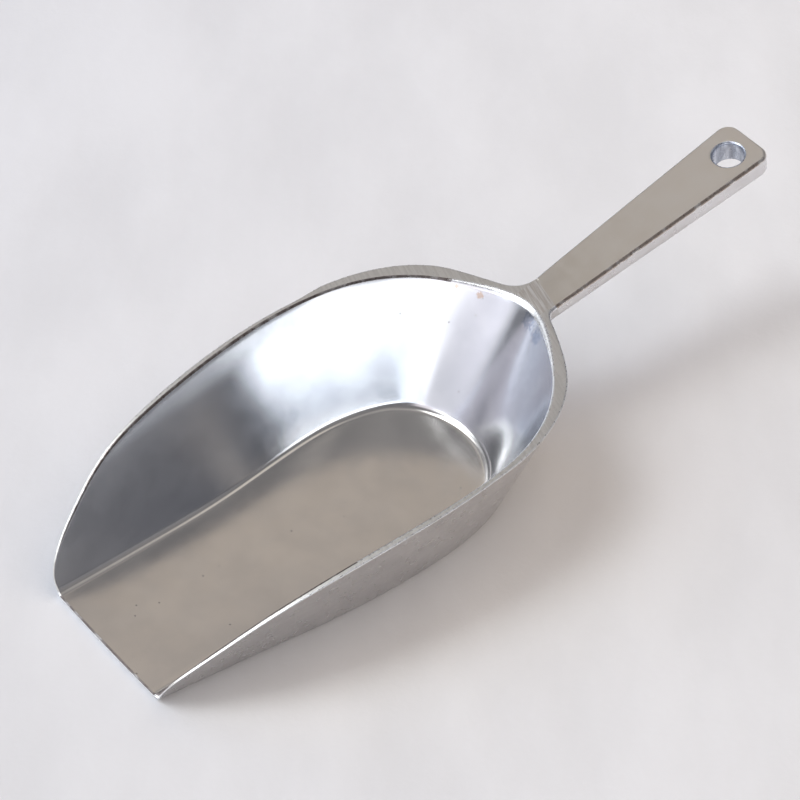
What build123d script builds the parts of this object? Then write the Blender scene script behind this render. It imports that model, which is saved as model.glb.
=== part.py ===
"""Cast aluminium ice scoop: a flat-bottomed bowl with one open end, and a tapered bar handle.

Millimetres. +X runs from the lip to the handle's end, +Z is up, and Z = 0 is the surface that the
scoop stands on. The origin is under the middle of the whole length, and lengths along X below are
measured from the lip. The real scoop is one casting. It is kept as two nodes, which meet on a flat
face across the root of the handle.
"""

import os
from math import atan, cos, degrees, radians, sin

from build123d import *

# Where the lip lies, so that the origin is under the middle of the whole length.
LIP_X = -120.4

# The bowl from above. Each outline is a long U: half widths at stations behind the lip, then a
# rounded rear whose fullness is its distance from the centre compared with an ellipse's.
FLOOR_STATIONS = (-8, 0, 30, 60, 90)
FLOOR_HALF_WIDTHS = (23.9, 23.7, 23.5, 24.4, 27.4)
FLOOR_REAR = 129.5
FLOOR_FULLNESS = (1.05, 1.085, 1.03)
BASE_HALF_WIDTHS = (22.6, 23.8, 27.8, 31.9, 33.0)
BASE_REAR = 135.2
BASE_FULLNESS = (1.02, 1.05, 1.03)
REAR_ANGLES = (67.5, 45, 22.5)

# The walls lean outwards: the same U where they would reach this height, inside and outside.
WALL_HEIGHT = 44
WALL_STATIONS = (-8, 0, 35, 70, 100)
INNER_HALF_WIDTHS = (46.0, 46.4, 47.2, 48.0, 47.1)
INNER_REAR = 153.6
INNER_FULLNESS = (0.98, 0.955, 0.95)
OUTER_HALF_WIDTHS = (43.6, 44.6, 47.0, 48.6, 48.0)
OUTER_REAR = 156.1
OUTER_FULLNESS = (0.995, 0.99, 0.97)

FLOOR_THICKNESS = 2.0
FLOOR_FILLET = 3.0
BASE_FILLET = 3.0

# The rim from the side: it stands almost upright at the lip, then runs almost level to the handle.
RIM_PROFILE = (
    (0.2, FLOOR_THICKNESS),
    (0.8, 6.2),
    (3.0, 10.6),
    (7, 14.4),
    (14, 19.6),
    (28, 27.8),
    (45, 32.7),
    (65, 35.8),
    (90, 38.0),
    (115, 39.1),
    (140, 40.3),
)
REAR_RIM_SLOPE = 0.049
LIP_BULGE = 0.5
LIP_HALF_WIDTH = 30

# The handle: a flat bar that climbs to its end, and grows wider and thicker on the way.
HANDLE_ROOT = 159.1
HANDLE_END = 240.0
HANDLE_SLOPE = 0.206
ROOT_HALF_WIDTH = 6.3
END_HALF_WIDTH = 9.5
ROOT_THICKNESS = 5.7
END_THICKNESS = 8.2
END_CORNER = 4.5
TOP_BEVEL = 0.8
UNDERSIDE_FILLET = 2.0

# The root's sides run straight for a little way, then curve out into the rim.
ROOT_STRAIGHT = 0.5
ROOT_BLEND_RADIUS = 7.0
ROOT_BLEND_TURN = 70

HOLE_RADIUS = 4.75
HOLE_FROM_END = 9.2
HOLE_BEVEL = 0.55

# A face counts as facing up or down when its normal's Z passes this.
FACING = 0.9
# Room past the object for cuts that go right through it.
CLEAR = 60

ROOT_TOP = RIM_PROFILE[-1][1] + REAR_RIM_SLOPE * (HANDLE_ROOT - RIM_PROFILE[-1][0])
ROOT_UNDERSIDE = ROOT_TOP - ROOT_THICKNESS
END_TOP = ROOT_TOP + HANDLE_SLOPE * (HANDLE_END - HANDLE_ROOT)
END_UNDERSIDE = END_TOP - END_THICKNESS
TILT = atan(HANDLE_SLOPE)
BAR_LENGTH = (HANDLE_END - HANDLE_ROOT) / cos(TILT)


# The side view's plane, with X measured from the lip.
side_view = Plane(origin=(LIP_X, 0, 0), x_dir=(1, 0, 0), z_dir=(0, -1, 0))

# The plane of the handle's top face, with X along the bar from its root.
handle_top = Plane(
    origin=(LIP_X + HANDLE_ROOT, 0, ROOT_TOP),
    x_dir=(cos(TILT), 0, sin(TILT)),
    z_dir=(-sin(TILT), 0, cos(TILT)),
)


def level(height):
    """A horizontal plane at a height, with X measured from the lip."""
    return Plane((LIP_X, 0, height))


def outline(stations, half_widths, rear, fullness):
    """Points of a U, from the far side of the open end round the rear to the near side."""
    start, half = stations[-1], half_widths[-1]
    side = list(zip(stations, half_widths))
    for angle, factor in zip(REAR_ANGLES, fullness):
        turn = radians(angle)
        side.append((start + (rear - start) * factor * cos(turn), half * factor * sin(turn)))
    return [*side, (rear, 0), *((x, -y) for x, y in reversed(side))]


floor_outline = outline(FLOOR_STATIONS, FLOOR_HALF_WIDTHS, FLOOR_REAR, FLOOR_FULLNESS)
base_outline = outline(FLOOR_STATIONS, BASE_HALF_WIDTHS, BASE_REAR, BASE_FULLNESS)
inner_outline = outline(WALL_STATIONS, INNER_HALF_WIDTHS, INNER_REAR, INNER_FULLNESS)
outer_outline = outline(WALL_STATIONS, OUTER_HALF_WIDTHS, OUTER_REAR, OUTER_FULLNESS)

# The space inside the bowl, with the edge round its floor already rounded.
with BuildPart() as hollow:
    for height, points in ((FLOOR_THICKNESS, floor_outline), (WALL_HEIGHT, inner_outline)):
        with BuildSketch(level(height)):
            with BuildLine():
                wall = Spline(*points)
                Line(wall @ 1, wall @ 0)
            make_face()
    loft(ruled=True)
    fillet(edges().group_by(Axis.Z)[0].sort_by(SortBy.LENGTH)[-1], FLOOR_FILLET)

# The handle's root: its sides curve out into the rim, and its underside edges are rounded.
with BuildPart() as root:
    with BuildSketch(level(ROOT_UNDERSIDE)):
        with BuildLine():
            side = Line((HANDLE_ROOT, ROOT_HALF_WIDTH), (HANDLE_ROOT - ROOT_STRAIGHT, ROOT_HALF_WIDTH))
            blend = JernArc(side @ 1, (-1, 0), ROOT_BLEND_RADIUS, -ROOT_BLEND_TURN)
            inside = Line(blend @ 1, (FLOOR_REAR, (blend @ 1).Y))
            Line(inside @ 1, (FLOOR_REAR, 0))
            mirror(about=Plane.XZ)
            Line((HANDLE_ROOT, -ROOT_HALF_WIDTH), (HANDLE_ROOT, ROOT_HALF_WIDTH))
        make_face()
    extrude(amount=WALL_HEIGHT - ROOT_UNDERSIDE)
    # Along X the front edge comes last, and before it the two sides and the two blends.
    fillet(edges().group_by(Axis.Z)[0].sort_by(Axis.X)[-5:-1], UNDERSIDE_FILLET)

with BuildPart() as bowl:
    for height, points in ((0, base_outline), (WALL_HEIGHT, outer_outline)):
        with BuildSketch(level(height)):
            with BuildLine():
                wall = Spline(*points)
                Line(wall @ 1, wall @ 0)
            make_face()
    loft(ruled=True)
    fillet(edges().group_by(Axis.Z)[0].sort_by(SortBy.LENGTH)[-1], BASE_FILLET)
    add(root.part)
    add(hollow.part, mode=Mode.SUBTRACT)

    # The rim: everything above its side profile goes.
    with BuildSketch(side_view):
        with BuildLine():
            rim = Spline(*RIM_PROFILE, (HANDLE_ROOT + 10, ROOT_TOP + 10 * REAR_RIM_SLOPE))
            Polyline(
                rim @ 1,
                (HANDLE_ROOT + 10, CLEAR),
                (-CLEAR, CLEAR),
                (-CLEAR, FLOOR_THICKNESS),
                rim @ 0,
            )
        make_face()
    extrude(amount=CLEAR, both=True, mode=Mode.SUBTRACT)

    # The lip: its front is a shallow arc.
    with BuildSketch(level(0)):
        with BuildLine():
            lip = ThreePointArc((0, -LIP_HALF_WIDTH), (-LIP_BULGE, 0), (0, LIP_HALF_WIDTH))
            Polyline(lip @ 1, (-CLEAR, LIP_HALF_WIDTH), (-CLEAR, -LIP_HALF_WIDTH), lip @ 0)
        make_face()
    extrude(amount=CLEAR, mode=Mode.SUBTRACT)

with BuildPart() as handle:
    # From above, the taper runs on past the root, where the side view then ends it.
    with BuildSketch(handle_top):
        with BuildLine():
            Polyline(
                (-BAR_LENGTH, -2 * ROOT_HALF_WIDTH + END_HALF_WIDTH),
                (BAR_LENGTH, -END_HALF_WIDTH),
                (BAR_LENGTH, END_HALF_WIDTH),
                (-BAR_LENGTH, 2 * ROOT_HALF_WIDTH - END_HALF_WIDTH),
                close=True,
            )
        make_face()
        fillet(vertices().group_by(Axis.X)[-1], END_CORNER)
    extrude(amount=-2 * END_THICKNESS)

    # From the side, an upright face at the root, and an underside that falls away from the top.
    with BuildSketch(side_view):
        with BuildLine():
            Polyline(
                (HANDLE_ROOT, ROOT_UNDERSIDE),
                (HANDLE_ROOT, ROOT_TOP + 1),
                (2 * HANDLE_END - HANDLE_ROOT, 2 * END_TOP - ROOT_TOP),
                (2 * HANDLE_END - HANDLE_ROOT, 2 * END_UNDERSIDE - ROOT_UNDERSIDE),
                close=True,
            )
        make_face()
    extrude(amount=CLEAR, both=True, mode=Mode.INTERSECT)

    # The edges at the root stay as they are, because the bowl goes on from there.
    top_face = faces().filter_by(lambda face: face.normal_at().Z > FACING)[0]
    chamfer(top_face.edges().sort_by(Axis.X)[1:], TOP_BEVEL)
    underside = faces().filter_by(lambda face: face.normal_at().Z < -FACING)[0]
    fillet(underside.edges().sort_by(Axis.X)[1:], UNDERSIDE_FILLET)

    # The hanging hole, square to the top face, with broken edges.
    with Locations(handle_top.location * Pos(BAR_LENGTH - HOLE_FROM_END, 0)):
        Hole(HOLE_RADIUS)
    chamfer(edges(Select.LAST).filter_by(GeomType.LINE, reverse=True), HOLE_BEVEL)

os.makedirs("parts", exist_ok=True)
bowl.part.label = "bowl"
export_step(bowl.part, "parts/bowl.step")
handle.part.label = "handle"
export_step(handle.part, "parts/handle.step")
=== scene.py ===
import math

import bmesh
import bpy
import numpy as np
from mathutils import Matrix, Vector


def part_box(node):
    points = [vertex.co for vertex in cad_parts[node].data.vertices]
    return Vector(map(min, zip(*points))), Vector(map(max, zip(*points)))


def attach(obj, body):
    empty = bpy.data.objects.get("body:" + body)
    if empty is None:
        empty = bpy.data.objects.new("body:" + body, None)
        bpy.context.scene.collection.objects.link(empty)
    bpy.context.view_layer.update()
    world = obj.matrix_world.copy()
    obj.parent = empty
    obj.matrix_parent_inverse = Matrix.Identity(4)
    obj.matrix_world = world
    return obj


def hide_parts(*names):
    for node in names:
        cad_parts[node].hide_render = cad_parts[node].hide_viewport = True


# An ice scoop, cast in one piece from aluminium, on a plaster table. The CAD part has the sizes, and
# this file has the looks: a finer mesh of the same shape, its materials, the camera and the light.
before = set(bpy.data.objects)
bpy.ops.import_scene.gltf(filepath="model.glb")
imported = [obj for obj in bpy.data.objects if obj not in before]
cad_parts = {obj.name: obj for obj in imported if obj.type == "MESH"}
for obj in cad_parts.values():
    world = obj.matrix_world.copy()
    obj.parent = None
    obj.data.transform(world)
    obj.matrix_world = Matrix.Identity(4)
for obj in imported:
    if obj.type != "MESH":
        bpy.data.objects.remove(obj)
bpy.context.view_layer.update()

# Lengths are in millimetres, measured along X from the lip, as in the CAD source, until to_metres().
MM = 0.001

# The bowl's outlines from above: half widths at stations, then a rounded rear.
FLOOR_STATIONS = (-8, 0, 30, 60, 90)
FLOOR_HALF_WIDTHS = (23.9, 23.7, 23.5, 24.4, 27.4)
FLOOR_REAR = 129.5
FLOOR_FULLNESS = (1.05, 1.085, 1.03)
BASE_HALF_WIDTHS = (22.6, 23.8, 27.8, 31.9, 33.0)
BASE_REAR = 135.2
BASE_FULLNESS = (1.02, 1.05, 1.03)
WALL_STATIONS = (-8, 0, 35, 70, 100)
INNER_HALF_WIDTHS = (46.0, 46.4, 47.2, 48.0, 47.1)
INNER_REAR = 153.6
INNER_FULLNESS = (0.98, 0.955, 0.95)
OUTER_HALF_WIDTHS = (43.2, 44.2, 46.8, 48.5, 48.0)
OUTER_REAR = 156.1
OUTER_FULLNESS = (0.995, 0.99, 0.97)
REAR_ANGLES = (67.5, 45, 22.5)
WALL_HEIGHT = 44
FLOOR_THICKNESS = 2.0
CORNER_RADIUS = 3.0

# The floor's crown: its height, how far it stays from the floor's edges, and where and over what length
# it fades out.
FLOOR_CROWN = 0.35
CROWN_MARGIN = 1.5
CROWN_END, CROWN_RUN = 95, 60

RIM_PROFILE = (
    (0.0, 2.0),
    (0.4, 6.2),
    (3.0, 10.6),
    (7, 14.4),
    (14, 19.6),
    (28, 27.8),
    (45, 32.7),
    (65, 35.8),
    (90, 38.0),
    (115, 39.1),
    (140, 40.3),
    (169.1, 41.726),
)
LIP_BULGE = 0.5
LIP_HALF_WIDTH = 30

# The lip's front face, from its top edge down: shares of the thickness, and how far forward it stands.
LIP_SHARES = (0, 0.015, 0.04, 0.08, 0.2, 0.3, 0.4, 0.5, 0.6, 0.72, 0.84, 0.93, 0.97, 1)
LIP_FORWARD = (0, 0.015, 0.05, 0.12, 0.36, 0.39, 0.4, 0.39, 0.35, 0.26, 0.14, 0.05, 0.02, 0)
LIP_UNDERSIDE_ROUND = 1.2
# How quickly the lip's forward shape fades out behind it.
LIP_FADE = 5

# How much thicker the real rim is at the far side of its rear, where that starts and ends, over what
# length it comes and goes, and how much of it the near side has.
FAR_RIM_EXTRA = 1.5
SWELL_START, SWELL_END, SWELL_RUN = 102, 153, 12
NEAR_SWELL_SHARE = 0.3

# How far the rim's edges are rounded: at the lip, then what is added behind it on each side, over this
# length, and what is added to the inner edge round the rear.
LIP_EDGE_ROUND = 0.12
FAR_INNER_ROUND, NEAR_INNER_ROUND = 0.4, 0.32
FAR_OUTER_ROUND, NEAR_OUTER_ROUND = 0.3, 0.42
FRONT_RUN = 14
REAR_INNER_ROUND = 0.95
REAR_ROUND_START, REAR_ROUND_RUN = 138, 13

# Oxide has stayed in the rim's inner bevel as far back as this on the far side, and on the near side.
FAR_GROOVE_END = 141
NEAR_GROOVE_END = 55
# It also covers the inner rows of the lip's face, and of the rim in the columns at the near corner.
LIP_DARK_ROWS = 4
CORNER_DARK_ROWS = 3
CORNER_COLUMNS = 8

# The handle: a tapered bar that climbs from the root, with the hanging hole near its end. The bow of
# the hole's bevel is the place of its corner, outwards from the hole's wall and down from the top face.
HANDLE_ROOT = 159.1
HANDLE_SLOPE = 0.206
ROOT_HALF_WIDTH = 6.3
END_HALF_WIDTH = 9.45
FAR_SIDE_EXTRA = 0.5
ROOT_THICKNESS = 5.7
END_THICKNESS = 8.0
FAR_CORNER = 4.5
NEAR_CORNER = 4.5
FAR_BEVEL = 0.5
NEAR_BEVEL = 0.85
UNDERSIDE_ROUND = 2.8
END_DEPTH_LEAN = 1.75
HOLE_RADIUS = 4.75
HOLE_BEVEL = 0.6
HOLE_BEVEL_BOW = (0.1, 0.06)
HOLE_FROM_END = 9.2

# The ground patch at the root ends askew: its slope across the bar, how fast that fades along the bar,
# how deep it goes, and how much of it is height.
CREASE_SKEW = 0.26
CREASE_FADE = 9
CREASE_DEPTH = 4
CREASE_RISE = 0.05
# The bar's sections turn from upright to square over this length.
LEAN_RUN = 14
# The bow of the bar's bevels.
BEVEL_BOW = 1.3
# The rim swells into the root from this far either side of the middle. The swelling leaves the rim along
# its own direction and reaches the far side of the root along this one, each for this share of the way.
BLEND_HALF_WIDTH = 12.5
ROOT_HEADING = (1.0, 0.02, 0.06)
BLEND_REACH = 0.42
# The strip of the outer wall that the root grows out of: its depth below the rim, which near the lip is
# no more than this share of the wall.
STRIP_DEPTH, STRIP_SHARE = 9.0, 0.35
# Half the side of the square of cells that holds the hole, and how much narrower the bar is there.
HOLE_BLOCK = 6.9
TAPER_TO_HOLE = 0.35

# How many cells each stretch of the mesh has.
ROWS_ROUND = 4
ROWS_FLAT = 5
ROWS_SIDE = 10
ROWS_UNDER = 6
ROWS_CORNER = 9
ROWS_WALL = 30
ROWS_COLLAR = 4
ROWS_HOLE_BEVEL, ROWS_HOLE, ROWS_HOLE_EXIT = 4, 8, 2
ACROSS_MARGIN = 4
ACROSS_HOLE = 20
ACROSS = ACROSS_HOLE + 2 * ACROSS_MARGIN
ACROSS_FLOOR = 24
BLEND_COLUMNS = 16

# Where the columns of cells stand: close together behind the lip, then evenly along the side, and over
# this much of the rim's inner edge where they face the handle.
LIP_COLUMNS = (0, 0.12, 0.26, 0.42, 0.62, 0.86, 1.15, 1.5, 1.95, 2.5, 3.2, 4.0, 5.0)
SIDE_SPACING = 1.15
FACING_HALF_WIDTH = ROOT_HALF_WIDTH - 0.9

# Points nearer than this, in metres, become one, and edges that turn by more than this stay sharp.
WELD_DISTANCE = 2e-6
SHARP_ANGLE = math.radians(55)


def cubic(knots, values):
    """The natural C2 cubic through values at knots, as a function of the knot variable."""
    knots = np.asarray(knots, float)
    values = np.asarray(values, float).reshape(len(knots), -1)
    gaps = np.diff(knots)
    count = len(knots)
    matrix = np.eye(count)
    right = np.zeros_like(values)
    slopes = np.diff(values, axis=0) / gaps[:, None]
    for k in range(1, count - 1):
        matrix[k, k - 1 : k + 2] = gaps[k - 1], 2 * (gaps[k - 1] + gaps[k]), gaps[k]
        right[k] = 6 * (slopes[k] - slopes[k - 1])
    bends = np.linalg.solve(matrix, right)

    def at(t):
        t = np.asarray(t, float)
        k = np.clip(np.searchsorted(knots, t) - 1, 0, count - 2)
        gap = gaps[k][..., None]
        after = (t - knots[k])[..., None] / gap
        before = 1 - after
        curve = before * values[k] + after * values[k + 1]
        return curve + ((before**3 - before) * bends[k] + (after**3 - after) * bends[k + 1]) * gap**2 / 6

    return at


def outline(stations, half_widths, rear, fullness):
    """Points of a U, from the far side of the open end round the rear to the near side."""
    start, half = stations[-1], half_widths[-1]
    side = list(zip(stations, half_widths))
    for angle, factor in zip(REAR_ANGLES, fullness):
        turn = math.radians(angle)
        side.append((start + (rear - start) * factor * math.cos(turn), half * factor * math.sin(turn)))
    return np.array([*side, (rear, 0), *((x, -y) for x, y in reversed(side))], float)


def knots_of(*outlines):
    """The distance along the outlines' average at each of its points."""
    middle = sum(outlines) / len(outlines)
    return np.concatenate([[0], np.cumsum(np.linalg.norm(np.diff(middle, axis=0), axis=1))])


def smooth_step(t):
    """From 0 at t = 0 to 1 at t = 1, level at both ends."""
    t = np.clip(t, 0, 1)
    return t * t * (3 - 2 * t)


def unit(vectors):
    """The same directions, with a length of 1."""
    return vectors / np.linalg.norm(vectors, axis=-1, keepdims=True)


def spread(start, end, cells):
    """Points from start to end, one row for each cell boundary: the rows are the first axis."""
    t = np.linspace(0, 1, cells + 1).reshape(-1, *([1] * np.ndim(start)))
    return np.asarray(start)[None] * (1 - t) + np.asarray(end)[None] * t


def bend(start, corner, end, cells):
    """The same, along a curve that leaves start and reaches end in the directions of the corner."""
    t = np.linspace(0, 1, cells + 1).reshape(-1, *([1] * np.ndim(start)))
    return start[None] * (1 - t) ** 2 + corner[None] * 2 * t * (1 - t) + end[None] * t * t


rim_knots = knots_of(np.array(RIM_PROFILE, float))
rim_line = cubic(rim_knots, RIM_PROFILE)(np.linspace(0, rim_knots[-1], 3000))


def rim_height(x):
    """The rim's height, which is never quite down at the floor, so that no row of cells closes up."""
    return np.maximum(np.interp(x, rim_line[:, 0], rim_line[:, 1]), FLOOR_THICKNESS + 0.06)


class Wall:
    """A leaning wall over a U, whose foot is rounded where it meets the flat inside it."""

    def __init__(self, foot, top, level):
        run = top - foot
        self.level = level
        self.foot = foot
        self.out = unit(run)
        self.angle = np.arctan2(WALL_HEIGHT - level, np.linalg.norm(run, axis=-1))
        self.reach = CORNER_RADIUS * np.tan(self.angle / 2)
        self.round = CORNER_RADIUS * self.angle

    def at(self, length):
        """The points that lie this far up the section, from where the rounded foot starts."""
        turn = np.clip(length, 0, self.round) / CORNER_RADIUS
        beyond = np.maximum(length - self.round, 0)
        along = CORNER_RADIUS * np.sin(turn) - self.reach + beyond * np.cos(self.angle)
        height = self.level + CORNER_RADIUS * (1 - np.cos(turn)) + beyond * np.sin(self.angle)
        plan = self.foot + self.out * along[..., None]
        return np.concatenate([plan, height[..., None]], axis=-1)

    def to_rim(self):
        """How far up the section the rim cuts it."""
        low = np.zeros(len(self.foot))
        high = np.full(len(self.foot), 1.5 * WALL_HEIGHT)
        for _ in range(40):
            middle = (low + high) / 2
            point = self.at(middle)
            above = point[..., 2] > rim_height(point[..., 0])
            low, high = np.where(above, low, middle), np.where(above, middle, high)
        return low


floor_points = outline(FLOOR_STATIONS, FLOOR_HALF_WIDTHS, FLOOR_REAR, FLOOR_FULLNESS)
base_points = outline(FLOOR_STATIONS, BASE_HALF_WIDTHS, BASE_REAR, BASE_FULLNESS)
inner_points = outline(WALL_STATIONS, INNER_HALF_WIDTHS, INNER_REAR, INNER_FULLNESS)
outer_points = outline(WALL_STATIONS, OUTER_HALF_WIDTHS, OUTER_REAR, OUTER_FULLNESS)
knots = knots_of(floor_points, base_points, inner_points, outer_points)
floor_curve, base_curve = cubic(knots, floor_points), cubic(knots, base_points)
inner_curve, outer_curve = cubic(knots, inner_points), cubic(knots, outer_points)
LIP_KNOT, REAR_KNOT = knots[1], knots[len(knots) // 2]

# Across the handle, from the far edge to the near one, with room for the hole's own cells.
END_TOP_HALF_WIDTH = END_HALF_WIDTH - (FAR_BEVEL + NEAR_BEVEL) / 2
block_share = HOLE_BLOCK / (END_TOP_HALF_WIDTH - TAPER_TO_HOLE)
across = np.concatenate([
    np.linspace(1, block_share, ACROSS_MARGIN + 1)[:-1],
    np.linspace(block_share, -block_share, ACROSS_HOLE + 1)[:-1],
    np.linspace(-block_share, -1, ACROSS_MARGIN + 1),
])


def column_places():
    """Where the columns of cells stand along the U, and the first and last that face the handle."""
    probe = np.linspace(LIP_KNOT, REAR_KNOT, 2000)
    inner = Wall(floor_curve(probe), inner_curve(probe), FLOOR_THICKNESS)
    outer = Wall(base_curve(probe), outer_curve(probe), 0)
    inner_y = inner.at(inner.to_rim())[:, 1]
    outer_y = outer.at(outer.to_rim())[:, 1]
    rear = probe > knots[len(WALL_STATIONS)]
    blend = np.interp(-BLEND_HALF_WIDTH, -outer_y[rear], probe[rear])
    facing = np.interp(-across[: ACROSS // 2] * FACING_HALF_WIDTH, -inner_y[rear], probe[rear])
    lip = LIP_KNOT + np.array(LIP_COLUMNS)
    count = int((blend - lip[-1]) / SIDE_SPACING)
    side = np.linspace(lip[-1], blend, count)[1:]
    turn = np.linspace(blend, facing[0], BLEND_COLUMNS + 1)[1:-1]
    half = np.concatenate([lip, side, turn, facing])
    first = len(half) - len(facing)
    blend_first = first - BLEND_COLUMNS
    places = np.concatenate([half, [REAR_KNOT], 2 * REAR_KNOT - half[::-1]])
    return places, first, len(places) - 1 - first, blend_first


places, FIRST, LAST, BLEND_FIRST = column_places()
COLUMNS = len(places)
inner = Wall(floor_curve(places), inner_curve(places), FLOOR_THICKNESS)
outer_top = outer_curve(places)
swell = FAR_RIM_EXTRA * smooth_step((outer_top[:, 0] - SWELL_START) / SWELL_RUN)
swell = swell * smooth_step((SWELL_END - outer_top[:, 0]) / SWELL_RUN)
swell = np.where(outer_top[:, 1] > 0, swell, NEAR_SWELL_SHARE * swell)
outer_foot = base_curve(places)
outer = Wall(outer_foot, outer_top + unit(outer_top - outer_foot) * swell[:, None], 0)
inner_rim, outer_rim = inner.to_rim(), outer.to_rim()

# How far each edge of the rim is rounded: hardly at all at the lip, widely at the inside of the rear.
inner_edge, outer_edge = inner.at(inner_rim), outer.at(outer_rim)
is_near = inner_edge[:, 1] < 0
rear_share = smooth_step((inner_edge[:, 0] - REAR_ROUND_START) / REAR_ROUND_RUN)
front_share = smooth_step(inner_edge[:, 0] / FRONT_RUN)
inner_round = LIP_EDGE_ROUND + front_share * np.where(is_near, NEAR_INNER_ROUND, FAR_INNER_ROUND)
inner_round = inner_round + rear_share * REAR_INNER_ROUND
outer_round = LIP_EDGE_ROUND + front_share * np.where(is_near, NEAR_OUTER_ROUND, FAR_OUTER_ROUND)
inner_round = np.minimum(inner_round, 0.45 * inner_rim)
outer_round = np.minimum(outer_round, 0.25 * np.linalg.norm(outer_edge - inner_edge, axis=1))

# The inner surface, from the floor's edge up to the rim.
inner_end = inner_rim - inner_round
corner_end = np.minimum(inner.round, 0.5 * inner_end)
inner_rows = np.stack(
    [inner.at(q) for q in spread(np.zeros(COLUMNS), corner_end, ROWS_CORNER)[:-1]]
    + [inner.at(q) for q in spread(corner_end, inner_end, ROWS_WALL)]
)

# The rim: a rounded inner edge, a flat, and a rounded outer edge.
over = unit(outer_edge - inner_edge)
width = np.linalg.norm(outer_edge - inner_edge, axis=1)
flat_start = inner_edge + over * np.minimum(inner_round, 0.4 * width)[:, None]
flat_end = outer_edge - over * outer_round[:, None]
outer_start = outer.at(outer_rim - outer_round)
inner_round_rows = bend(inner_rows[-1], inner_edge, flat_start, ROWS_ROUND)

# The handle's own axes: s along its top face from the root, y across, and depth below the top face.
TILT = math.atan(HANDLE_SLOPE)
ROOT_TOP = float(rim_height(np.array(HANDLE_ROOT)))
HANDLE_END_X = (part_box("handle")[1].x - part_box("bowl")[0].x) / MM - LIP_BULGE
BAR_LENGTH = (HANDLE_END_X - END_DEPTH_LEAN - HANDLE_ROOT) / math.cos(TILT)


def bar_point(s, y, depth):
    """A point of the handle. Its sections are upright at the root and square to the bar further on."""
    lean = TILT * smooth_step(s / LEAN_RUN)
    x = HANDLE_ROOT + s * math.cos(TILT) + depth * np.sin(lean)
    z = ROOT_TOP + s * math.sin(TILT) - depth * np.cos(lean)
    # The ground patch ends askew, so the top face starts later on the far side.
    fade = np.exp(-s / CREASE_FADE) * np.clip(1 - depth / CREASE_DEPTH, 0, 1)
    x = x + CREASE_SKEW * y * fade
    z = z + CREASE_RISE * CREASE_SKEW * y * fade
    return np.stack(np.broadcast_arrays(x, y, z), axis=-1)


def bar_stations():
    """Stations along the bar: to the hole's cells, across them, then round the end's corners."""
    hole = BAR_LENGTH - HOLE_FROM_END
    to_hole = np.concatenate([np.linspace(0, 3, 5)[:-1], np.linspace(3, hole - HOLE_BLOCK, 52)])
    over_hole = np.linspace(hole - HOLE_BLOCK, hole + HOLE_BLOCK, ACROSS_HOLE + 1)[1:]
    start = math.asin((over_hole[-1] - BAR_LENGTH + FAR_CORNER) / FAR_CORNER)
    turn = np.linspace(start, math.pi / 2, 9)[1:]
    end = BAR_LENGTH - FAR_CORNER + FAR_CORNER * np.sin(turn)
    return np.concatenate([to_hole, over_hole, end]), len(to_hole) - 1


stations, HOLE_FIRST = bar_stations()
HOLE_LAST = HOLE_FIRST + ACROSS_HOLE


def bar_side(side, corner, bevel):
    """One side strip of the bar: rows from the top face's edge to the underside's, for each station."""
    taper = (END_HALF_WIDTH - ROOT_HALF_WIDTH) / BAR_LENGTH
    half = ROOT_HALF_WIDTH + taper * stations + FAR_SIDE_EXTRA * (side > 0)
    turn = np.arcsin(np.clip((stations - BAR_LENGTH + corner) / corner, 0, 1))
    y = half - corner * (1 - np.cos(turn))
    out = unit(np.stack([np.sin(turn) - taper * np.cos(turn), np.cos(turn)], axis=-1))
    thickness = ROOT_THICKNESS + (END_THICKNESS - ROOT_THICKNESS) * stations / BAR_LENGTH
    profile = []
    for t in np.linspace(0, 1, ROWS_ROUND + 1):
        profile.append((bevel * (1 - t) ** BEVEL_BOW, bevel * t**BEVEL_BOW + 0 * stations))
    sides = ROWS_SIDE // 2
    for t in np.linspace(0, 1, sides + 1)[1:]:
        profile.append((0, bevel + (thickness - UNDERSIDE_ROUND - bevel) * t))
    for t in np.linspace(0, 1, ROWS_SIDE - sides + 1)[1:]:
        turn_under = t * math.pi / 2
        inset = UNDERSIDE_ROUND * (1 - math.cos(turn_under))
        profile.append((inset, thickness - UNDERSIDE_ROUND * (1 - math.sin(turn_under))))
    rows = []
    for inset, depth in profile:
        rows.append(bar_point(stations - inset * out[:, 0], side * (y - inset * out[:, 1]), depth))
    return np.stack(rows)


far_strip = bar_side(1, FAR_CORNER, FAR_BEVEL)
near_strip = bar_side(-1, NEAR_CORNER, NEAR_BEVEL)


def across_between(far, near):
    """Points across the bar between its far and near edges, in the handle's cells."""
    share = ((1 - across) / 2).reshape(-1, *([1] * far.ndim))
    return far[None] * (1 - share) + near[None] * share


top_grid = across_between(far_strip[0], near_strip[0])
under_grid = across_between(far_strip[-1], near_strip[-1])
root_cap = across_between(far_strip[:, 0], near_strip[:, 0])
end_cap = across_between(far_strip[:, -1], near_strip[:, -1])

# The outside of the bowl. Row 0 is the rim's outer edge, and the last is the edge of the underside.
outer_end = outer_rim - outer_round
strip_end = outer_end - np.minimum(STRIP_DEPTH, STRIP_SHARE * outer_end)
corner_start = np.minimum(outer.round, 0.5 * strip_end)
upper_rows = [outer.at(q) for q in spread(outer_end, strip_end, ROWS_SIDE + ROWS_UNDER)]
lower_rows = [outer.at(q) for q in spread(strip_end, corner_start, ROWS_WALL - ROWS_SIDE - ROWS_UNDER)]
lower_rows += [outer.at(q) for q in spread(corner_start, np.zeros(COLUMNS), ROWS_CORNER)[1:]]
upper_rows, lower_rows = np.stack(upper_rows), np.stack(lower_rows)
outer_round_rows = bend(flat_end, outer_edge, outer_start, ROWS_ROUND)


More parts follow.
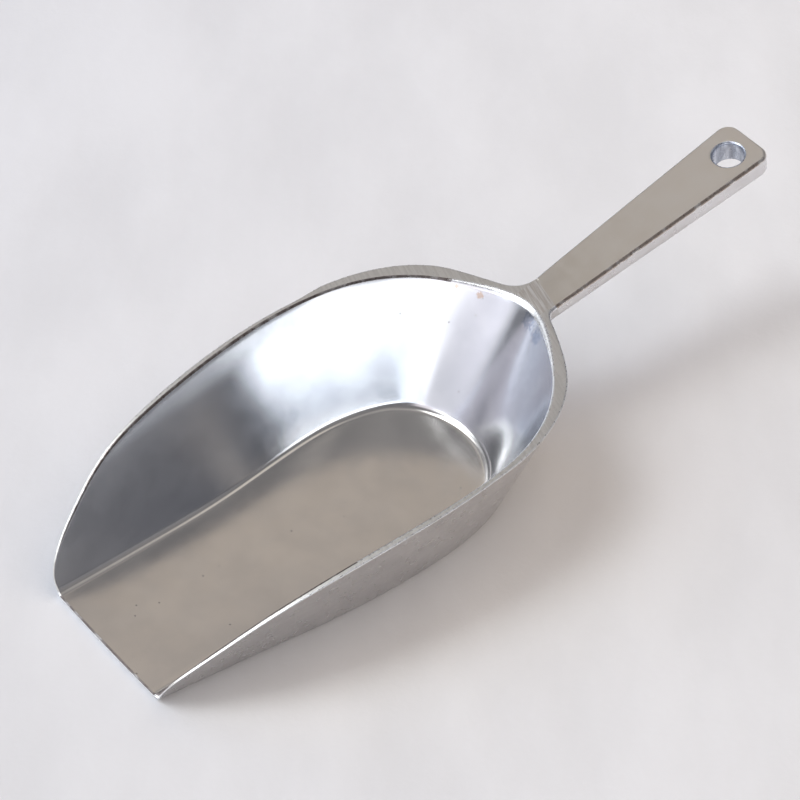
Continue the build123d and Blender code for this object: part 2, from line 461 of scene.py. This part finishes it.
def blend_root():
    """Swells the rim out into the handle, over the columns beside it."""
    full_rows = ROWS_ROUND + ROWS_SIDE
    for side, strip in ((1, far_strip), (-1, near_strip)):
        corner_column = FIRST if side > 0 else LAST
        start_column = BLEND_FIRST if side > 0 else COLUMNS - 1 - BLEND_FIRST
        step = 1 if side > 0 else -1
        target = strip[:, 0]
        start, before = (
            np.concatenate([outer_round_rows[:, column], upper_rows[1 : ROWS_SIDE + 1, column]])
            for column in (start_column, start_column - step)
        )
        heading = unit(start - before)
        count = abs(corner_column - start_column)
        chord = np.linalg.norm(target - start, axis=1)[:, None]
        leave = start + heading * chord * BLEND_REACH
        arrive = target - np.array(ROOT_HEADING) * (1, side, 1) * chord * BLEND_REACH
        for k in range(1, count + 1):
            t = k / count
            column = start_column + step * k
            curve = ((1 - t) ** 3 * start + 3 * t * (1 - t) ** 2 * leave
                     + 3 * t * t * (1 - t) * arrive + t**3 * target)
            outer_round_rows[:, column] = curve[: ROWS_ROUND + 1]
            upper_rows[: ROWS_SIDE + 1, column] = curve[ROWS_ROUND:]
            under_start = curve[full_rows]
            wall = upper_rows[-1, column]
            wall_up = unit(outer_edge[column] - wall)
            corner = wall + wall_up * max((under_start[2] - wall[2]) / wall_up[2], 0.1)
            upper_rows[ROWS_SIDE:, column] = bend(under_start, corner, wall, ROWS_UNDER)
            flat_end[column] = curve[0]


blend_root()
flat_rows = spread(flat_start, flat_end, ROWS_FLAT)

# The columns that face the handle run straight into its top face and its underside.
facing = np.arange(FIRST, LAST + 1)
flat_rows[:, facing] = spread(flat_start[facing], top_grid[:, 0], ROWS_FLAT)
wall_top = upper_rows[-1][facing]
wall_up = unit(outer_edge[facing] - wall_top)
under_start = under_grid[:, 0]
rise = (under_start[:, 2] - wall_top[:, 2]) / wall_up[:, 2]
under_rows = bend(under_start, wall_top + wall_up * rise[:, None], wall_top, ROWS_UNDER)


class Shell:
    """A mesh in the making: grids of points, each with a surface kind, welded where they meet."""

    def __init__(self, kinds):
        self.kinds = kinds
        self.points, self.faces, self.face_kinds = [], [], []

    def grid(self, rows, kind):
        """Adds a grid of points, with a four-sided face in each of its cells."""
        rows = np.asarray(rows)
        start = sum(len(p) for p in self.points)
        tall, wide = rows.shape[:2]
        self.points.append(rows.reshape(-1, 3))
        index = start + np.arange(tall * wide).reshape(tall, wide)
        corners = [index[:-1, :-1], index[:-1, 1:], index[1:, 1:], index[1:, :-1]]
        self.faces.append(np.stack([c.ravel() for c in corners], axis=1))
        self.face_kinds.append(np.full(len(self.faces[-1]), self.kinds.index(kind)))


# The kinds of surface, each with a material of its own.
KINDS = [
    "inside", "outside", "ground_rim", "rim_edge", "rim_groove", "lip", "ground_root",
    "bar_top", "bar_edge", "bar_side", "hole",
]
bowl_shell, handle_shell = Shell(KINDS), Shell(KINDS)


def rungs(edge, cells):
    """A flat between the two halves of a U: one rung from each far column to its near twin."""
    half = COLUMNS // 2 + 1
    far, near = edge[:half], edge[::-1][:half]
    return np.swapaxes(spread(far, near, cells), 0, 1)


def lip_rows():
    """The front face of the lip, with both of its edges rounded like the rim's."""
    floor = spread(inner_rows[0, -1], inner_rows[0, 0], ACROSS_FLOOR)
    base = spread(lower_rows[-1, -1], lower_rows[-1, 0], ACROSS_FLOOR)
    inside = np.concatenate([inner_rows[::-1, -1], floor[1:-1], inner_rows[:, 0]])
    outside_far = np.concatenate([upper_rows[:, 0], lower_rows[1:, 0]])
    outside_near = np.concatenate([upper_rows[:, -1], lower_rows[1:, -1]])
    outside = np.concatenate([outside_near, base[1:-1], outside_far[::-1]])
    rows = []
    for k, (share, forward) in enumerate(zip(LIP_SHARES, LIP_FORWARD)):
        row = inside * (1 - share) + outside * share
        row[1:-1, 0] -= forward
        row[0], row[-1] = near_section[k], far_section[k]
        rows.append(row)
    return np.stack(rows)


far_section = np.concatenate([inner_round_rows[:, 0], flat_rows[1:, 0], outer_round_rows[1:, 0]])
near_section = np.concatenate([inner_round_rows[:, -1], flat_rows[1:, -1], outer_round_rows[1:, -1]])

far_groove = int(np.argmax(inner_edge[:, 0] > FAR_GROOVE_END))
near_groove = COLUMNS - 1 - int(np.argmax(inner_edge[:, 0] > NEAR_GROOVE_END))
corner = COLUMNS - CORNER_COLUMNS
bowl_shell.grid(inner_rows, "inside")
bowl_shell.grid(rungs(inner_rows[0], ACROSS_FLOOR), "inside")
bowl_shell.grid(inner_round_rows[:, : far_groove + 1], "rim_groove")
bowl_shell.grid(inner_round_rows[:, far_groove : near_groove + 1], "rim_edge")
bowl_shell.grid(inner_round_rows[:, near_groove:], "rim_groove")
bowl_shell.grid(flat_rows[:, : FIRST + 1], "ground_rim")
bowl_shell.grid(flat_rows[:, LAST : corner + 1], "ground_rim")
bowl_shell.grid(flat_rows[: CORNER_DARK_ROWS + 1, corner:], "rim_groove")
bowl_shell.grid(flat_rows[CORNER_DARK_ROWS:, corner:], "lip")
for part in (slice(0, FIRST + 1), slice(LAST, COLUMNS)):
    bowl_shell.grid(outer_round_rows[:, part], "rim_edge")
    bowl_shell.grid(upper_rows[: ROWS_SIDE + 1, part], "outside")
    bowl_shell.grid(upper_rows[ROWS_SIDE:, part], "outside")
bowl_shell.grid(flat_rows[:, FIRST : LAST + 1], "ground_root")
bowl_shell.grid(under_rows, "outside")
bowl_shell.grid(lower_rows, "outside")
bowl_shell.grid(rungs(lower_rows[-1], ACROSS_FLOOR), "outside")
lip_face = lip_rows()
bowl_shell.grid(lip_face[: LIP_DARK_ROWS + 1], "rim_groove")
bowl_shell.grid(lip_face[LIP_DARK_ROWS:], "lip")
bowl_shell.grid(root_cap, "outside")


def with_hole(shell, grid, kind):
    """The top face or the underside, with a gap in its cells for the hole. Returns the gap's edge."""
    low, high = ACROSS_MARGIN, ACROSS_MARGIN + ACROSS_HOLE
    shell.grid(grid[:, : HOLE_FIRST + 1], kind)
    shell.grid(grid[:, HOLE_LAST:], kind)
    shell.grid(grid[: low + 1, HOLE_FIRST : HOLE_LAST + 1], kind)
    shell.grid(grid[high:, HOLE_FIRST : HOLE_LAST + 1], kind)
    block = grid[low : high + 1, HOLE_FIRST : HOLE_LAST + 1]
    edge = [block[0, :-1], block[:-1, -1], block[-1, :0:-1], block[:0:-1, 0]]
    edge = np.concatenate(edge)
    return np.concatenate([edge, edge[:1]])


def turns_about_hole(edge):
    """The directions of the points of the gap's edge, seen from the hole's axis."""
    s = (edge[:, 0] - HANDLE_ROOT) / math.cos(TILT) - (BAR_LENGTH - HOLE_FROM_END)
    return np.arctan2(edge[:, 1], s)


def hole_ring(turns, radius, depth):
    """A circle about the hole's axis, with a point in each of these directions."""
    s = BAR_LENGTH - HOLE_FROM_END + radius * np.cos(turns)
    return bar_point(s, radius * np.sin(turns), depth)


def drill():
    """The handle's top face and underside, with the hole between them and its two broken edges."""
    top_edge = with_hole(handle_shell, top_grid, "bar_top")
    under_edge = with_hole(handle_shell, under_grid, "bar_side")
    turns = turns_about_hole(top_edge)
    slope = (END_THICKNESS - ROOT_THICKNESS) / BAR_LENGTH
    depth = ROOT_THICKNESS + slope * (BAR_LENGTH - HOLE_FROM_END)
    wide, narrow = HOLE_RADIUS + HOLE_BEVEL, HOLE_RADIUS
    mouth = hole_ring(turns, wide, 0)
    throat = hole_ring(turns, narrow, HOLE_BEVEL)
    foot = hole_ring(turns, narrow, depth - HOLE_BEVEL)
    exit_ring = hole_ring(turns, wide, depth + slope * wide * np.cos(turns))
    out, down = HOLE_BEVEL_BOW
    handle_shell.grid(spread(top_edge, mouth, ROWS_COLLAR), "bar_top")
    handle_shell.grid(bend(mouth, hole_ring(turns, narrow + out, down), throat, ROWS_HOLE_BEVEL), "hole")
    handle_shell.grid(spread(throat, foot, ROWS_HOLE), "hole")
    handle_shell.grid(spread(foot, exit_ring, ROWS_HOLE_EXIT), "hole")
    handle_shell.grid(spread(exit_ring, under_edge, ROWS_COLLAR), "bar_side")


drill()
# The handle's far bevel takes the bright rim-edge colour as a painted highlight along that edge.
for strip, kind in ((far_strip, "rim_edge"), (near_strip, "bar_edge")):
    handle_shell.grid(strip[: ROWS_ROUND + 1, : HOLE_LAST + 1], kind)
    handle_shell.grid(strip[: ROWS_ROUND + 1, HOLE_LAST:], "bar_top")
    handle_shell.grid(strip[ROWS_ROUND:], "bar_side")
handle_shell.grid(end_cap[:, : ROWS_ROUND + 1], "bar_top")
handle_shell.grid(end_cap[:, ROWS_ROUND:], "bar_side")
handle_shell.grid(root_cap, "bar_side")


def shape_lip(points):
    """Bows the lip forward, and rounds the front edge of its underside."""
    x, y, z = points[:, 0], np.abs(points[:, 1]), points[:, 2]
    bow = -LIP_BULGE * np.clip(1 - (y / LIP_HALF_WIDTH) ** 2, 0, 1)
    under = np.clip(1 - z / LIP_UNDERSIDE_ROUND, 0, 1)
    back = LIP_UNDERSIDE_ROUND * (1 - np.sqrt(1 - under**2))
    points[:, 0] = x + (max(LIP_FORWARD) + bow + back) * np.exp(-np.maximum(x, 0) / LIP_FADE)
    return points


def crown_floor(points):
    """Crowns the floor a little near the lip, fading out towards the rear."""
    x, y, z = points[:, 0], points[:, 1], points[:, 2]
    on_floor = (np.abs(z - FLOOR_THICKNESS) < 0.001) & (np.abs(y) < FLOOR_HALF_WIDTHS[2])
    rise = FLOOR_CROWN * np.clip(1 - (y / (FLOOR_HALF_WIDTHS[2] - CROWN_MARGIN)) ** 2, 0, 1)
    rise = rise * smooth_step((CROWN_END - x) / CROWN_RUN)
    points[:, 2] = np.where(on_floor, z + rise, z)
    return points


def to_metres(points):
    """Into the part's own frame."""
    lip_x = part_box("bowl")[0].x / MM + LIP_BULGE
    return (points + np.array([lip_x, 0, 0])) * MM


def build(shell, name, materials):
    """The Blender object of a shell, closed, welded and smooth."""
    points = crown_floor(shape_lip(np.concatenate(shell.points)))
    mesh = bpy.data.meshes.new(name)
    mesh.from_pydata(to_metres(points).tolist(), [], np.concatenate(shell.faces).tolist())
    for kind in shell.kinds:
        mesh.materials.append(materials[kind])
    mesh.polygons.foreach_set("material_index", np.concatenate(shell.face_kinds).astype(np.int32))
    work = bmesh.new()
    work.from_mesh(mesh)
    bmesh.ops.remove_doubles(work, verts=work.verts, dist=WELD_DISTANCE)
    bmesh.ops.dissolve_degenerate(work, edges=work.edges, dist=WELD_DISTANCE)
    bmesh.ops.recalc_face_normals(work, faces=work.faces)
    open_edges = sum(1 for edge in work.edges if not edge.is_manifold)
    print(name, "faces", len(work.faces), "open edges", open_edges)
    work.to_mesh(mesh)
    work.free()
    mesh.shade_smooth()
    mesh.set_sharp_from_angle(angle=SHARP_ANGLE)
    piece = bpy.data.objects.new(name, mesh)
    bpy.context.scene.collection.objects.link(piece)
    return piece


def add(tree, kind, inputs=None, **settings):
    """A new node, with its settings and inputs. An input that is a socket is linked."""
    node = tree.nodes.new(kind)
    for name, value in settings.items():
        setattr(node, name, value)
    for name, value in (inputs or {}).items():
        if isinstance(value, bpy.types.NodeSocket):
            tree.links.new(value, node.inputs[name])
        else:
            node.inputs[name].default_value = value
    return node


def math_node(tree, operation, *values):
    """The result of an arithmetic node. Each value is a number or a socket."""
    return add(tree, "ShaderNodeMath", dict(enumerate(values)), operation=operation).outputs[0]


def stretched(tree, scale, turn=0.0):
    """The part's own coordinates, turned about Z and scaled, for lines and streaks."""
    place = add(tree, "ShaderNodeTexCoord").outputs["Object"]
    turned = add(tree, "ShaderNodeMapping", {"Vector": place, "Rotation": (0, 0, turn)})
    return add(tree, "ShaderNodeMapping", {"Vector": turned.outputs[0], "Scale": scale}).outputs[0]


def cloud(tree, size_mm, detail=3.0, vector=None, roughness=0.55):
    """Noise with features of about this size, from 0 to 1."""
    vector = vector or add(tree, "ShaderNodeTexCoord").outputs["Object"]
    inputs = {"Vector": vector, "Scale": 1 / (size_mm * MM), "Detail": detail, "Roughness": roughness}
    return add(tree, "ShaderNodeTexNoise", inputs).outputs["Fac"]


def remap(tree, value, low, high, to_low, to_high):
    """A smooth step from one output to the other, as the value goes from low to high."""
    inputs = {"Value": value, "From Min": low, "From Max": high, "To Min": to_low, "To Max": to_high}
    return add(tree, "ShaderNodeMapRange", inputs, interpolation_type="SMOOTHSTEP").outputs[0]


def blend_colors(tree, factor, first, second):
    """The first colour where the factor is 0, and the second where it is 1."""
    node = add(tree, "ShaderNodeMix", data_type="RGBA")
    for socket, value in ((node.inputs[0], factor), (node.inputs[6], first), (node.inputs[7], second)):
        if isinstance(value, bpy.types.NodeSocket):
            tree.links.new(value, socket)
        else:
            socket.default_value = (*value, 1) if hasattr(value, "__len__") else value
    return node.outputs[2]


def bumps(tree, layers):
    """A normal from several layers of (height from 0 to 1, depth in millimetres)."""
    normal = None
    for height, depth in layers:
        inputs = {"Height": height, "Distance": depth * MM}
        if normal:
            inputs["Normal"] = normal
        normal = add(tree, "ShaderNodeBump", inputs).outputs[0]
    return normal


def material(name):
    """A new material, with its node tree and its shader."""
    made = bpy.data.materials.new(name)
    made.use_nodes = True
    return made, made.node_tree, made.node_tree.nodes["Principled BSDF"]


def feed(tree, shader, color, roughness, normal):
    """Links the three varying inputs that every surface here has."""
    tree.links.new(color, shader.inputs["Base Color"])
    tree.links.new(roughness, shader.inputs["Roughness"])
    tree.links.new(normal, shader.inputs["Normal"])


# Stains and tarnish near the rear of the rim, in millimetres in the part's own frame, with their radii.
STAINS = (((25.2, 14, 38.2), 1.5), ((21.9, 20.5, 39.1), 0.9))
TARNISH = (((29.3, -3, 38), 5), ((27.3, -9, 37), 4.5))


def spot(tree, center, radius, low, high):
    """A ragged spot about a point: the higher its two limits, the more it breaks up into specks."""
    place = add(tree, "ShaderNodeTexCoord").outputs["Object"]
    middle = tuple(c * MM for c in center)
    away = add(tree, "ShaderNodeVectorMath", {0: place, 1: middle}, operation="DISTANCE").outputs["Value"]
    near = remap(tree, away, 0, radius * 1.5 * MM, 1, 0)
    ragged = math_node(tree, "MULTIPLY", near, cloud(tree, 0.8, 3))
    return remap(tree, ragged, low, high, 0, 0.75)


def cast_inside():
    """Tumbled casting: satin, with an orange peel, soft cloudiness and a few tiny pits."""
    made, tree, shader = material("aluminium_inside")
    shader.inputs["Metallic"].default_value = 1
    place = add(tree, "ShaderNodeTexCoord").outputs["Object"]
    height = add(tree, "ShaderNodeSeparateXYZ", {0: place}).outputs[2]
    # Lighter and warmer on the floor than up the walls.
    floor_share = remap(tree, height, 2.2 * MM, 4 * MM, 1, 0)
    mottle = remap(tree, cloud(tree, 14, 3), 0.35, 0.65, 0, 1)
    wall = blend_colors(tree, mottle, (0.6, 0.61, 0.635), (0.65, 0.66, 0.68))
    floor = blend_colors(tree, mottle, (0.735, 0.705, 0.66), (0.765, 0.735, 0.69))
    grains = add(tree, "ShaderNodeTexVoronoi", {"Vector": place, "Scale": 1 / (6 * MM)}).outputs["Distance"]
    pits = remap(tree, grains, 0.02, 0.055, 1, 0)
    color = blend_colors(tree, floor_share, wall, floor)
    color = blend_colors(tree, math_node(tree, "MULTIPLY", pits, 0.6), color, (0.25, 0.22, 0.2))
    for center, radius in STAINS:
        color = blend_colors(tree, spot(tree, center, radius, 0.16, 0.4), color, (0.5, 0.37, 0.28))
    for center, radius in TARNISH:
        color = blend_colors(tree, spot(tree, center, radius, 0.3, 0.46), color, (0.38, 0.43, 0.52))
    roughness = remap(tree, cloud(tree, 8, 3), 0.3, 0.7, 0.16, 0.21)
    normal = bumps(tree, [(cloud(tree, 2.4, 1), 0.0015), (cloud(tree, 7, 1), 0.007), (pits, -0.02)])
    feed(tree, shader, color, roughness, normal)
    return made


def cast_outside(name, first, second):
    """The outside of the bowl and the sides of the handle: a little duller, with soft waves."""
    made, tree, shader = material(name)
    shader.inputs["Metallic"].default_value = 1
    color = blend_colors(tree, remap(tree, cloud(tree, 11, 4), 0.35, 0.65, 0, 1), first, second)
    roughness = remap(tree, cloud(tree, 2.6, 4), 0.3, 0.7, 0.26, 0.36)
    normal = bumps(tree, [(cloud(tree, 2.6, 2), 0.001), (cloud(tree, 9, 1), 0.005)])
    feed(tree, shader, color, roughness, normal)
    return made


def ground(name, turn, first, second, line_mm, depth):
    """A ground face: fine scratches all one way, over a matt olive grey."""
    made, tree, shader = material(name)
    shader.inputs["Metallic"].default_value = 1
    lines = cloud(tree, line_mm, 3, stretched(tree, (1, 0.045, 1), turn))
    grit = cloud(tree, 0.5, 3)
    color = blend_colors(tree, remap(tree, lines, 0.35, 0.65, 0, 1), first, second)
    color = blend_colors(tree, remap(tree, grit, 0.58, 0.8, 0, 0.35), color, (0.36, 0.33, 0.29))
    roughness = remap(tree, grit, 0.3, 0.7, 0.34, 0.48)
    feed(tree, shader, color, roughness, bumps(tree, [(lines, depth), (grit, 0.003)]))
    return made


def wear_and_sheen_edge(name, bright, dark, size_mm, low, high, stretch=(1, 1, 1)):
    """A small bevel: bright where it is worn, dark where oxide is left in it. For the lip, the hole and the
    handle's far bevel the colours also hold a painted highlight, and in the hole a painted reflection and
    painted shade.
    """
    made, tree, shader = material(name)
    shader.inputs["Metallic"].default_value = 1
    patches = remap(tree, cloud(tree, size_mm, 4, stretched(tree, stretch)), low, high, 0, 1)
    color = blend_colors(tree, patches, dark, bright)
    roughness = remap(tree, cloud(tree, 1.2, 3), 0.3, 0.7, 0.24, 0.36)
    feed(tree, shader, color, roughness, bumps(tree, [(cloud(tree, 2.2, 2), 0.004)]))
    return made


def handle_face():
    """The handle's top face: smooth taupe, darker towards the root, with scuffs along it."""
    made, tree, shader = material("aluminium_bar_top")
    shader.inputs["Metallic"].default_value = 1
    scuffs = cloud(tree, 1.4, 2, stretched(tree, (0.1, 1, 1), 0.12))
    mottle = cloud(tree, 6, 4)
    place = add(tree, "ShaderNodeTexCoord").outputs["Object"]
    along = add(tree, "ShaderNodeSeparateXYZ", {0: place}).outputs[0]
    toward_end = remap(tree, along, 40 * MM, 100 * MM, 0, 1)
    color = blend_colors(tree, toward_end, (0.77, 0.715, 0.63), (0.86, 0.81, 0.735))
    color = blend_colors(tree, remap(tree, mottle, 0.3, 0.7, 0, 0.3), color, (0.88, 0.84, 0.78))
    color = blend_colors(tree, remap(tree, scuffs, 0.72, 0.86, 0, 0.25), color, (0.5, 0.43, 0.37))
    roughness = remap(tree, cloud(tree, 5, 2), 0.3, 0.7, 0.28, 0.33)
    feed(tree, shader, color, roughness, bumps(tree, [(scuffs, 0.0015), (cloud(tree, 7, 1), 0.003)]))
    return made


def plaster():
    """Off-white plaster with soft trowel marks, small lumps and a fine grain."""
    made, tree, shader = material("plaster")
    shader.inputs["Specular IOR Level"].default_value = 0.25
    waves = cloud(tree, 45, 5, stretched(tree, (1, 0.45, 1), 0.7))
    grain = cloud(tree, 1.5, 3)
    color = blend_colors(tree, remap(tree, waves, 0.3, 0.7, 0, 1), (0.76, 0.755, 0.75), (0.82, 0.815, 0.81))
    roughness = remap(tree, waves, 0.3, 0.7, 0.62, 0.78)
    normal = bumps(tree, [(waves, 0.9), (cloud(tree, 9, 4), 0.14), (grain, 0.05)])
    feed(tree, shader, color, roughness, normal)
    return made


outside = cast_outside("aluminium_outside", (0.62, 0.605, 0.605), (0.67, 0.655, 0.65))
materials = {
    "inside": cast_inside(),
    "outside": outside,
    "ground_rim": ground("aluminium_ground_rim", 0.3, (0.74, 0.72, 0.68), (0.83, 0.81, 0.77), 0.8, 0.004),
    "rim_edge": wear_and_sheen_edge("aluminium_rim_edge", (0.9, 0.9, 0.9), (0.76, 0.74, 0.72), 4, 0.3, 0.5),
    "rim_groove": wear_and_sheen_edge("aluminium_rim_groove", (0.5, 0.48, 0.47), (0.2, 0.17, 0.16), 4, 0.45, 0.7),
    # The lip's near-white colour is partly polish from wear and partly a painted highlight.
    "lip": wear_and_sheen_edge("aluminium_lip", (0.97, 0.975, 0.98), (0.88, 0.88, 0.88), 6, 0.3, 0.5),
    "ground_root": ground("aluminium_ground_root", 0.29, (0.7, 0.655, 0.6), (0.92, 0.9, 0.87), 0.5, 0.02),
    "bar_top": handle_face(),
    "bar_edge": wear_and_sheen_edge("aluminium_bar_edge", (0.7, 0.66, 0.62), (0.42, 0.35, 0.3), 3.5, 0.46, 0.64),
    # Lighter than the bowl's outside: a painted reflection of the bright table that the handle's sides
    # face.
    "bar_side": cast_outside("aluminium_bar_side", (0.73, 0.715, 0.72), (0.79, 0.78, 0.79)),
    # The hole's wall: bluish tones and dark streaks down it are a painted reflection and painted shade
    # inside the hole.
    "hole": wear_and_sheen_edge("aluminium_hole", (0.66, 0.7, 0.78), (0.4, 0.43, 0.5), 2.2, 0.38, 0.62, (1, 1, 0.2)),
}
bowl_piece = build(bowl_shell, "bowl_casting", materials)
handle_piece = build(handle_shell, "handle_casting", materials)
for piece, node in ((bowl_piece, "bowl"), (handle_piece, "handle")):
    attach(piece, "root")
    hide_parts(node)

# The camera.
AZIMUTH, ELEVATION = -38.97, 45.23
TARGET = Vector((3.6, 24.5, 0)) * MM
DISTANCE = 835.1 * MM
camera_data = bpy.data.cameras.new("camera")
camera_data.lens = 124.66
camera_data.sensor_width = 36
camera = bpy.data.objects.new("camera", camera_data)
bpy.context.scene.collection.objects.link(camera)
azimuth, elevation = math.radians(AZIMUTH), math.radians(ELEVATION)
toward = Vector((math.sin(azimuth) * math.cos(elevation), -math.cos(azimuth) * math.cos(elevation),
                 math.sin(elevation)))
camera.location = TARGET + toward * DISTANCE
camera.rotation_euler = (-toward).to_track_quat("-Z", "Y").to_euler()
bpy.context.scene.camera = camera
bpy.context.scene.view_settings.view_transform = "Standard"

# The table's surface.
floor_mesh = bpy.data.meshes.new("plaster_floor")
FLOOR_HALF_SIZE = 3.0
corners = [(-1, -1), (1, -1), (1, 1), (-1, 1)]
floor_corners = [(x * FLOOR_HALF_SIZE, y * FLOOR_HALF_SIZE, 0) for x, y in corners]
floor_mesh.from_pydata(floor_corners, [], [(0, 1, 2, 3)])
floor_mesh.materials.append(plaster())
floor = bpy.data.objects.new("plaster_floor", floor_mesh)
bpy.context.scene.collection.objects.link(floor)

# The room as the metal mirrors it, by direction, with azimuths from +X towards +Y: the middle of each
# patch, its half widths in degrees, how soft its edge is, its colour and its strength.
ROOM = (0.215, 0.215, 0.235)
PATCHES = (
    ("window", 148, 36, 17, 19, 0.3, (0.88, 0.94, 1.0), 2.9),
    ("window_low", 143, 21, 14, 9, 0.3, (0.94, 0.97, 1.0), 2.0),
    ("window_left", 168, 28, 17, 13, 0.4, (0.84, 0.92, 1.0), 1.6),
    ("window_top", 131, 61.5, 28, 13, 0.22, (0.94, 0.97, 1.0), 5.0),
    ("window_sill", 122, 42, 18, 12, 0.5, (0.8, 0.89, 1.0), 0.5),
    ("low_wall", -119, 2, 46, 11, 0.2, (0.97, 0.98, 1.0), 2.0),
    ("low_wall_left", -178, 3, 27, 10, 0.4, (0.92, 0.93, 1.0), 0.72),
    ("low_wall_right", -68, 0, 13, 7, 0.4, (0.9, 0.95, 1.0), 2.2),
    ("far_low_wall", 103, 22, 17, 15, 0.5, (0.92, 0.96, 1.0), 1.0),
    ("left_wall", -171, 24, 26, 22, 0.5, (0.97, 0.92, 1.0), 0.9),
    ("left_wall_glow", -179, 17, 8, 5, 0.5, (0.7, 0.85, 1.0), 1.0),
    ("warm_wall", 54, 44, 15, 11, 0.6, (1.0, 0.85, 0.68), 0.32),
    ("warm_upper_wall", 66, 58, 18, 9, 0.5, (1.0, 0.86, 0.72), 0.26),
    ("warm_low_wall", 72, 28, 32, 9, 0.5, (1.0, 0.93, 0.86), 0.3),
    ("ceiling", 20, 90, 180, 27, 0.6, (1.0, 0.96, 0.9), 0.2),
    ("near_wall", -72, 30, 24, 36, 0.5, (1.0, 0.94, 0.88), 0.05),
    ("near_ceiling", -8, 60, 34, 10, 0.4, (1.0, 0.94, 0.85), 0.55),
)
# The lamps that light the table, which the metal doesn't mirror: azimuth, elevation, distance, size,
# colour and power.
KEY = (112, 45, 1.1, 1.0, (0.3, 0.5, 1.0), 1.5)
FILL = (-30, 55, 2.0, 2.4, (1.0, 0.81, 0.63), 15)


def lamp(name, azimuth_deg, height_deg, distance, size, color, power):
    """A big soft lamp above the table, aimed at the scoop, and left out of the reflections."""
    data = bpy.data.lights.new(name, "AREA")
    data.shape = "DISK"
    data.size = size
    data.energy = power
    data.color = color
    made = bpy.data.objects.new(name, data)
    bpy.context.scene.collection.objects.link(made)
    around, height = math.radians(azimuth_deg), math.radians(height_deg)
    level = math.cos(height)
    place = Vector((math.cos(around) * level, math.sin(around) * level, math.sin(height)))
    made.location = place * distance
    made.rotation_euler = place.to_track_quat("Z", "Y").to_euler()
    made.visible_glossy = False


def studio():
    """A soft room: big windows at the back left, pale walls low down, and a dim rest."""
    world = bpy.data.worlds.new("studio")
    bpy.context.scene.world = world
    world.use_nodes = True
    tree = world.node_tree
    background = tree.nodes["Background"]
    direction = add(tree, "ShaderNodeTexCoord").outputs["Generated"]
    parts = add(tree, "ShaderNodeSeparateXYZ", {0: direction}).outputs
    around = math_node(tree, "ARCTAN2", parts[1], parts[0])
    height = math_node(tree, "ARCSINE", parts[2])
    total = ROOM
    for name, azimuth_deg, height_deg, half_around, half_height, softness, color, strength in PATCHES:
        off = math_node(tree, "SUBTRACT", around, math.radians(azimuth_deg))
        off = math_node(tree, "WRAP", off, math.pi, -math.pi)
        off = math_node(tree, "DIVIDE", math_node(tree, "ABSOLUTE", off), math.radians(half_around))
        up = math_node(tree, "SUBTRACT", height, math.radians(height_deg))
        up = math_node(tree, "DIVIDE", math_node(tree, "ABSOLUTE", up), math.radians(half_height))
        edge = math_node(tree, "MAXIMUM", off, up)
        share = remap(tree, edge, 1 - softness, 1, 1, 0)
        share.node.label = name
        glow = add(tree, "ShaderNodeVectorMath", {
            0: tuple(c * strength for c in color), "Scale": share}, operation="SCALE").outputs[0]
        total = add(tree, "ShaderNodeVectorMath", {0: total, 1: glow}, operation="ADD").outputs[0]
    tree.links.new(total, background.inputs[0])


studio()
lamp("window_lamp", *KEY)
lamp("room_lamp", *FILL)
